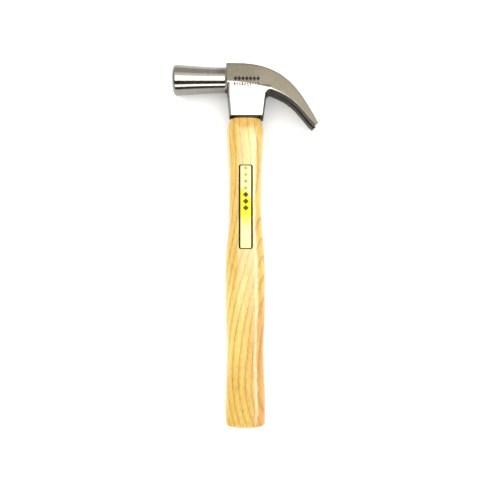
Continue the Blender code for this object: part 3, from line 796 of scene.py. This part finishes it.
rings = {
    "spacing": 0.0056, "sweep": 0.0185, "turning": 0.124,  # the rings stand upright below the middle
    "sweepBelow": 0.26, "sweepMore": 0.14, "drift": 0.010, "heart": (0.075, 0.002),
}


def figureGroup():  # growth rings of a plain-sawn handle: they sweep across the lower grip
    tree, given, made = newGroup("ashFigure", [("Vector", "Vector", None),
                                               ("Spacing", "Float", rings["spacing"]),
                                               ("Sweep", "Float", rings["sweep"])],
                                 [("Ring", "Float"), ("Fibre", "Float"), ("Pore", "Float"),
                                  ("Streak", "Float")])
    vector = given.outputs["Vector"]

    def drawn(stretch, scale, kind="TexNoise", **inputs):
        along = addNode(tree, "VectorMath", {0: vector, 1: (1, stretch, 1)}, operation="MULTIPLY")
        return addNode(tree, kind, {"Vector": along.outputs[0], "Scale": scale, **inputs})

    split = addNode(tree, "SeparateXYZ", {"Vector": vector})
    x, y, z = split.outputs
    above = mathNode(tree, "GREATER_THAN", y, -rings["turning"])
    length = mathNode(tree, "MULTIPLY", above, rings["sweepMore"])
    length = mathNode(tree, "ADD", rings["sweepBelow"], length)
    along = mathNode(tree, "DIVIDE", mathNode(tree, "ADD", y, rings["turning"]), length)
    bow = mathNode(tree, "COSINE", mathNode(tree, "MULTIPLY", along, math.tau))
    bow = mathNode(tree, "MULTIPLY", mathNode(tree, "SUBTRACT", 1.0, bow), given.outputs["Sweep"])
    drift = drawn(0.10, 40.0, Detail=2.0).outputs["Fac"]
    drift = mathNode(tree, "MULTIPLY", mathNode(tree, "SUBTRACT", drift, 0.5), rings["drift"])
    across = mathNode(tree, "ADD", mathNode(tree, "SUBTRACT", x, bow), drift)
    across = mathNode(tree, "ADD", across, rings["heart"][0])
    depth = mathNode(tree, "ADD", z, rings["heart"][1])
    squares = [mathNode(tree, "MULTIPLY", side, side) for side in (across, depth)]
    radius = mathNode(tree, "SQRT", mathNode(tree, "ADD", *squares))
    turns = mathNode(tree, "DIVIDE", radius, given.outputs["Spacing"])
    tree.links.new(mathNode(tree, "FRACT", turns), made.inputs["Ring"])
    tree.links.new(drawn(0.03, 1100.0, Detail=4.0, Roughness=0.65).outputs["Fac"], made.inputs["Fibre"])
    tree.links.new(drawn(0.13, 1150.0, "TexVoronoi").outputs["Distance"], made.inputs["Pore"])
    tree.links.new(drawn(0.07, 210.0, Detail=3.0).outputs["Fac"], made.inputs["Streak"])
    return tree


speckle, brushing, ashFigure = speckleGroup(), brushGroup(), figureGroup()


def newMaterial(name, **plain):
    material = bpy.data.materials.new(name)
    material.use_nodes = True
    tree = material.node_tree
    shader = tree.nodes["Principled BSDF"]
    for key, value in plain.items():
        shader.inputs[key.replace("_", " ")].default_value = value
    place = addNode(tree, "TexCoord").outputs["Object"]
    return material, tree, shader, place


def useGroup(tree, group, inputs):
    node = addNode(tree, "Group", node_tree=group)
    for key, value in inputs.items():
        feed(tree, node.inputs[key], value)
    return node.outputs


def bumpFrom(tree, shader, height, distance, strength, socket="Normal"):
    bump = addNode(tree, "Bump", {"Height": height, "Distance": distance, "Strength": strength})
    tree.links.new(bump.outputs["Normal"], shader.inputs[socket])


def zone(tree, name):  # how far a kind of finish, or a painted shade or highlight, holds here, kept on the mesh
    return addNode(tree, "Attribute", attribute_name=name).outputs["Fac"]


steel = {  # pairs of colours, darker and paler
    "polished": ((0.215, 0.202, 0.176), (0.33, 0.312, 0.277)),
    "grainy": ((0.062, 0.055, 0.042), (0.158, 0.142, 0.110)), "cloudy": (0.128, 0.114, 0.088),
    "ground": ((0.285, 0.282, 0.272), (0.36, 0.357, 0.345)),
    # scale: near-black, for the painted shade on the underside, slot, socket's sides and neck
    "scale": ((0.010, 0.008, 0.005), (0.044, 0.036, 0.025)),
    "roughness": 0.12, "satinRougher": 0.24, "groundRougher": 0.16, "scaleRougher": 0.30,
    "strokesRougher": 0.05, "grainDepth": 0.00003,
}


def makeHeadSteel():
    material, tree, shader, place = newMaterial("forgedSteel", Metallic=1.0)
    satin, bright, scale = zone(tree, "satin"), zone(tree, "bright"), zone(tree, "scale")
    fine = useGroup(tree, speckle, {"Vector": place, "Scale": 1100.0, "Contrast": 1.5})["Value"]
    cloud = useGroup(tree, speckle, {"Vector": place, "Scale": 60.0, "Contrast": 1.4})["Value"]
    strokes = {"Vector": place, "Stretch": (1.0, 0.06, 0.06), "Scale": 900.0}
    strokes = useGroup(tree, brushing, strokes)["Value"]
    polished = mixColour(tree, strokes, *steel["polished"])
    grainy = mixColour(tree, fine, *steel["grainy"])
    grainy = mixColour(tree, mathNode(tree, "MULTIPLY", cloud, 0.4), grainy, steel["cloudy"])
    ground = mixColour(tree, cloud, *steel["ground"])
    dark = mixColour(tree, fine, *steel["scale"])
    base = mixColour(tree, satin, polished, grainy)
    base = mixColour(tree, bright, base, ground)
    # painted shade from the scale zone: the claws' underside, the slot, the socket's sides and the neck
    base = mixColour(tree, scale, base, dark)
    tree.links.new(base, shader.inputs["Base Color"])
    rough = steel["roughness"]
    for share, name in ((satin, "satin"), (bright, "ground"), (scale, "scale"), (strokes, "strokes")):
        more = mathNode(tree, "MULTIPLY", share, steel[name + "Rougher"])
        rough = mathNode(tree, "ADD", rough, more)
    tree.links.new(rough, shader.inputs["Roughness"])
    coarse = mathNode(tree, "ADD", mathNode(tree, "MULTIPLY", satin, 0.8), 0.05)
    bumpFrom(tree, shader, mathNode(tree, "MULTIPLY", fine, coarse), steel["grainDepth"], 0.6)
    return material


wood = {
    "fibres": ((0.49, 0.290, 0.028), (0.66, 0.460, 0.078)), "streak": (0.58, 0.305, 0.020),
    # The pale colour is a painted highlight, the amber one is partly painted shade, and the near-black one
    # is painted shade in the gap below the socket
    "paintedSheen": (0.80, 0.66, 0.20), "line": (0.33, 0.160, 0.009), "pore": (0.24, 0.118, 0.010),
    "tan": (0.93, 0.70, 0.42), "amberShade": (0.95, 0.84, 0.34), "gapShadeAndButtDark": (0.030, 0.018, 0.010),
    "streakShare": 0.45, "lineShare": 0.85, "poreShare": 0.34, "poreInLines": 0.7,
    "roughness": 0.5, "coatRoughness": 0.09, "peelDepth": 0.0004, "grainDepth": 0.00005,
}


def makeAsh():
    material, tree, shader, place = newMaterial("lacqueredAsh", Coat_Weight=1.0,
                                                Coat_Roughness=wood["coatRoughness"],
                                                Roughness=wood["roughness"])
    grain = useGroup(tree, ashFigure, {"Vector": place, "Spacing": rings["spacing"],
                                       "Sweep": rings["sweep"]})
    fibre = rampNode(tree, grain["Fibre"], [(0.34, 0.0), (0.60, 1.0)])
    line = rampNode(tree, grain["Ring"],
                    [(0.0, 0.25), (0.07, 1.0), (0.17, 0.35), (0.55, 0.0), (1.0, 0.12)])
    streak = rampNode(tree, grain["Streak"], [(0.38, 0.0), (0.62, 1.0)])
    pore = rampNode(tree, grain["Pore"], [(0.14, 1.0), (0.46, 0.0)])
    colour = mixColour(tree, fibre, *wood["fibres"])
    streaked = mathNode(tree, "MULTIPLY", streak, wood["streakShare"])
    colour = mixColour(tree, streaked, colour, wood["streak"])
    # painted highlight: paler where the lamp's sheen lies
    colour = mixColour(tree, zone(tree, "paintedSheen"), colour, wood["paintedSheen"])
    lined = mathNode(tree, "MULTIPLY", line, wood["lineShare"])
    colour = mixColour(tree, lined, colour, wood["line"])
    inLines = mathNode(tree, "MULTIPLY", line, wood["poreInLines"])
    porous = mathNode(tree, "MULTIPLY", pore, mathNode(tree, "ADD", inLines, wood["poreShare"]))
    colour = mixColour(tree, porous, colour, wood["pore"])
    # amber: partly darker lacquer, partly painted shade on the shaved shoulders; tan: browner wood
    for name in ("tan", "amberShade"):
        colour = mixColour(tree, zone(tree, name), colour, wood[name], "MULTIPLY")
    # painted shade in the gap below the socket, and a darker trace round the butt
    colour = mixColour(tree, zone(tree, "gapShadeAndButtDark"), colour, wood["gapShadeAndButtDark"])
    tree.links.new(colour, shader.inputs["Base Color"])
    peel = addNode(tree, "TexNoise", {"Vector": place, "Scale": 700.0, "Detail": 2.0})
    bumpFrom(tree, shader, peel.outputs["Fac"], wood["peelDepth"], 0.55, "Coat Normal")
    bumpFrom(tree, shader, grain["Fibre"], wood["grainDepth"], 0.4)
    return material


def makeWedgeWood():  # end grain of the wooden wedge
    material, tree, shader, place = newMaterial("poplar", Roughness=0.7)
    fibres = {"Vector": place, "Stretch": (1.0, 0.2, 0.08), "Scale": 900.0}
    fibres = useGroup(tree, brushing, fibres)["Value"]
    colour = mixColour(tree, fibres, (0.36, 0.25, 0.10), (0.62, 0.49, 0.25))
    tree.links.new(colour, shader.inputs["Base Color"])
    bumpFrom(tree, shader, fibres, 0.0001, 0.4)
    return material


def makeWedgeSteel():  # cut from plain strip and hammered flush
    material, tree, shader, place = newMaterial("stripSteel", Metallic=1.0)
    dents = useGroup(tree, speckle, {"Vector": place, "Scale": 700.0, "Contrast": 1.6})["Value"]
    colour = mixColour(tree, dents, (0.14, 0.13, 0.12), (0.34, 0.33, 0.31))
    tree.links.new(colour, shader.inputs["Base Color"])
    rough = mathNode(tree, "ADD", 0.3, mathNode(tree, "MULTIPLY", dents, 0.2))
    tree.links.new(rough, shader.inputs["Roughness"])
    bumpFrom(tree, shader, dents, 0.0001, 0.5)
    return material


def makeInk(name, colour, thin):
    material, tree, shader, place = newMaterial(name, Roughness=0.6)
    shader.inputs["Specular IOR Level"].default_value = 0.15
    rubbed = useGroup(tree, speckle, {"Vector": place, "Scale": 260.0, "Contrast": 1.4})["Value"]
    tree.links.new(mixColour(tree, rubbed, colour, thin), shader.inputs["Base Color"])
    return material


yellow = {
    # the washed colours are a painted highlight, where the lamp's sheen pales the label towards its ends
    "sheenWashed": ((0.66, 0.58, 0.17), (0.80, 0.76, 0.42)), "inked": ((0.66, 0.55, 0.002), (0.76, 0.66, 0.006)),
    "upper": (0.045, 0.050), "lower": (0.027, 0.016), "slant": 0.9, "ragged": 0.03,
}


def makeYellow():  # strong in the middle of the label, with a painted highlight washing it pale towards both ends
    material, tree, shader, place = newMaterial("yellowInk", Roughness=0.5)
    shader.inputs["Specular IOR Level"].default_value = 0.2
    x, y = addNode(tree, "SeparateXYZ", {"Vector": place}).outputs[:2]
    streaks = {"Vector": place, "Stretch": (1.0, 0.08, 1.0), "Scale": 420.0}
    streaks = useGroup(tree, brushing, streaks)["Value"]
    ragged = mathNode(tree, "MULTIPLY", mathNode(tree, "SUBTRACT", streaks, 0.5), yellow["ragged"])
    slant = mathNode(tree, "MULTIPLY", x, -yellow["slant"])
    ends = []
    for away, (full, none) in ((mathNode(tree, "SUBTRACT", ragged, slant), yellow["upper"]),
                               (ragged, yellow["lower"])):
        away = mathNode(tree, "ADD", y, away)
        ends.append(addNode(tree, "MapRange", {"Value": away, "From Min": full, "From Max": none}))
    # painted highlight: how far the lamp's sheen washes the yellow pale
    sheenWash = mathNode(tree, "MAXIMUM", *[end.outputs[0] for end in ends])
    sheenWashed = mixColour(tree, streaks, *yellow["sheenWashed"])
    inked = mixColour(tree, streaks, *yellow["inked"])
    tree.links.new(mixColour(tree, sheenWash, inked, sheenWashed), shader.inputs["Base Color"])
    return material


def makeFloorPaper():
    material, tree, shader, place = newMaterial("studioPaper", Roughness=0.9)
    fibres = useGroup(tree, speckle, {"Vector": place, "Scale": 300.0, "Contrast": 0.4})["Value"]
    colour = mixColour(tree, fibres, (0.89, 0.89, 0.89), (0.93, 0.93, 0.93))
    tree.links.new(colour, shader.inputs["Base Color"])
    return material


def makeDark():
    material, tree, shader, place = newMaterial("darkCloth", Roughness=1.0)
    shader.inputs["Base Color"].default_value = (0.01, 0.01, 0.01, 1)
    shader.inputs["Specular IOR Level"].default_value = 0.0
    return material


def markZones(piece, rules):  # a name, and a function of a vertex's place and normal
    mesh = piece.data
    for name, rule in rules.items():
        layer = mesh.attributes.new(name, "FLOAT", "POINT")
        layer.data.foreach_set("value", [rule(v.co, v.normal) for v in mesh.vertices])


zones = {  # where one finish on the steel or the wood gives way to another, or to painted shade or highlight
    "creaseLow": -4.9 * mm, "creaseFall": 5.3 * mm, "creaseBow": 0.9 * mm, "creaseSoft": 1.2 * mm,
    "edgeLift": 0.3 * mm, "edgeStart": 1.0 * mm, "edgeLength": 6 * mm, "groundDepth": 8.5 * mm,
    # the slot and neck entries say where the painted shade on the steel lies
    "chamferTop": 1.6 * mm, "slotFrom": 25 * mm, "slotHalf": 5 * mm, "slotShare": 0.95,
    "neckShadeLength": 13 * mm, "neckShadeSoft": 11 * mm, "neckShadeShare": 0.45,
    # the amber entries are partly painted shade, the gap entries painted shade, and the pale entry a
    # painted highlight
    "tongueAmber": 0.3, "amberFrom": 107.0 * mm, "amberCurve": 0.047, "amberSoft": 1.2 * mm,
    "gapMiddle": 0.9 * mm, "gapHalf": 0.7 * mm, "buttDarkening": 0.3, "buttEdge": 1.4 * mm,
    "paintedSheenShare": 0.32, "underStep": 0.5 * mm,
}
underHeights = [underHeight(k * zones["underStep"]) for k in range(140)]


def underLine(x):  # the claws' underside, read between the kept heights
    step = max(0.0, min(x / zones["underStep"], len(underHeights) - 1.001))
    i = int(step)
    return underHeights[i] + (underHeights[i + 1] - underHeights[i]) * (step - i)


def creaseHeight(x):  # where the flat of the cheek ends, above the poll's axis
    start, end = -head["cheekReach"], head["clawRoot"][0]
    if x > end:
        shrinking = math.exp((end - x) / zones["edgeLength"])
        return underLine(x) + zones["edgeLift"] + zones["edgeStart"] * shrinking
    share = max(0.0, (x - start) / (end - start))
    return zones["creaseLow"] - zones["creaseFall"] * share + zones["creaseBow"] * math.sin(math.pi * share)


def onHead(place, normal):
    flat = rise(abs(normal.z) - 0.86, 0.1)
    above = place.y - pollAxis - creaseHeight(place.x)
    cheek = rise(place.x + head["cheekReach"], 0.5 * mm)
    return flat, above, cheek


def satinAt(place, normal):
    flat, above, cheek = onHead(place, normal)
    return flat * cheek * rise(above + 0.2 * mm, zones["creaseSoft"])


def brightAt(place, normal):
    flat, above, cheek = onHead(place, normal)
    outer = rise(abs(place.z - midPlane) - zones["groundDepth"], 1.5 * mm)
    bright = flat * (1 - rise(above + 0.2 * mm, zones["creaseSoft"]))
    if place.x > head["clawRoot"][0]:  # the ground chamfer along the claws' lower edge
        chamfer = rise(abs(normal.z) - 0.52, 0.15) * rise(0.97 - abs(normal.z), 0.04)
        over = place.y - pollAxis - underLine(place.x) - zones["chamferTop"]
        bright = max(bright, chamfer * (1 - rise(over, 0.7 * mm)))
    return bright * outer * cheek


def paintedSteelShadeAt(place, normal):  # painted shade on what isn't ground: the claws' underside, the slot, the socket's sides, and the upper side of the neck
    flat, above, cheek = onHead(place, normal)
    turned = 1 - rise(abs(normal.z) - 0.25, 0.3)
    below = 1 - rise(above + 0.4 * mm, 0.8 * mm)
    hidden = turned * below * rise(place.x + head["cheekReach"] + 2 * mm, 1 * mm)
    inSlot = (place.x > zones["slotFrom"] and abs(place.z - midPlane) < zones["slotHalf"]
              and abs(normal.z) > 0.5)
    # painted shade on the upper side of the neck, where it flares
    neckShade = rise(place.x + head["cheekReach"] + zones["neckShadeLength"], zones["neckShadeSoft"]) * (1 - cheek)
    return max(hidden, zones["slotShare"] * inSlot, zones["neckShadeShare"] * neckShade * rise(normal.y, 0.4))


def amberShadeAt(place, normal):  # darker amber on the shaved shoulders under the socket: partly darker lacquer, partly painted shade where the flats tilt towards the head
    if place.y > grip["shoulder"] + 1 * mm:
        return zones["tongueAmber"]
    arc = zones["amberFrom"] + (place.x / mm) ** 2 * zones["amberCurve"] * mm
    return rise(place.y - arc, zones["amberSoft"])


def gapShadeAndButtDarkAt(place, normal):  # painted shade in the gap below the socket, and a darker trace round the butt
    gap = abs(place.y - grip["shoulder"] - zones["gapMiddle"])
    butt = zones["buttDarkening"] * rise(grip["butt"] + zones["buttEdge"] - place.y, 0.7 * mm)
    return max(butt, 1 - rise(gap - zones["gapHalf"], 0.4 * mm))


def tanAt(place, normal):  # the wood is browner on the claws' side of the lower grip
    return rise(place.x - 2 * mm, 12 * mm) * rise(-20 * mm - place.y, 70 * mm)


def paintedSheenAt(place, normal):  # painted highlight: paler wood where the lamp's sheen lies, on the claws' side above and the poll's side below the label
    above = rise(place.x + 1 * mm, 8 * mm) * rise(place.y - 15 * mm, 40 * mm)
    above *= rise(104 * mm - place.y, 6 * mm)
    below = rise(4 * mm - place.x, 8 * mm) * rise(-place.y - 20 * mm, 30 * mm)
    below *= rise(place.y + 130 * mm, 40 * mm)
    return zones["paintedSheenShare"] * max(above, below)


markZones(forgedHead, {"satin": satinAt, "bright": brightAt, "scale": paintedSteelShadeAt})
markZones(ashHandle, {"amberShade": amberShadeAt, "gapShadeAndButtDark": gapShadeAndButtDarkAt, "tan": tanAt, "paintedSheen": paintedSheenAt})

wedgeSteel, cloth = makeWedgeSteel(), makeDark()
finishes = {
    forgedHead: makeHeadSteel(), ashHandle: makeAsh(),
    labelPieces[0]: makeYellow(),
    labelPieces[1]: makeInk("blackInk", (0.006, 0.005, 0.002), (0.022, 0.019, 0.007)),
    labelPieces[2]: makeInk("markInk", (0.035, 0.028, 0.004), (0.10, 0.08, 0.01)),
    # paler ink for the upper marks: painted highlight
    labelPieces[3]: makeInk("sheenInk", (0.22, 0.19, 0.06), (0.48, 0.43, 0.18)),
    cheekPrints[0]: makeInk("stampInk", (0.006, 0.006, 0.006), (0.02, 0.018, 0.015)),
    cheekPrints[1]: makeInk("tickInk", (0.035, 0.026, 0.012), (0.11, 0.088, 0.045)),
    wedgePieces["poplarWedge"]: makeWedgeWood(),
    wedgePieces["ironWedgePollSide"]: wedgeSteel, wedgePieces["ironWedgeClawSide"]: wedgeSteel,
    floor: makeFloorPaper(), cards[0]: cloth, cards[1]: cloth,
}
for piece, finish in finishes.items():
    piece.data.materials.clear()
    piece.data.materials.append(finish)

standIns = {  # the frame's node, the pieces in its place, and its slot
    "hammer_head": ([forgedHead], "head_steel"),
    "handle": ([ashHandle], "handle_ash"),
    "handle_label": (labelPieces, "label_print"),
    "wood_wedge": ([wedgePieces["poplarWedge"]], "wedge_wood"),
    "steel_wedge_poll_side": ([wedgePieces["ironWedgePollSide"]], "wedge_steel"),
    "steel_wedge_claw_side": ([wedgePieces["ironWedgeClawSide"]], "wedge_steel"),
}
for node, (pieces, slotName) in standIns.items():
    for piece in pieces:
        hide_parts(node)
        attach(piece, "root")
for printed in cheekPrints:
    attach(printed, "root")

low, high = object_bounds()
print("visual size, mm:", [round(v / mm, 1) for v in high - low])
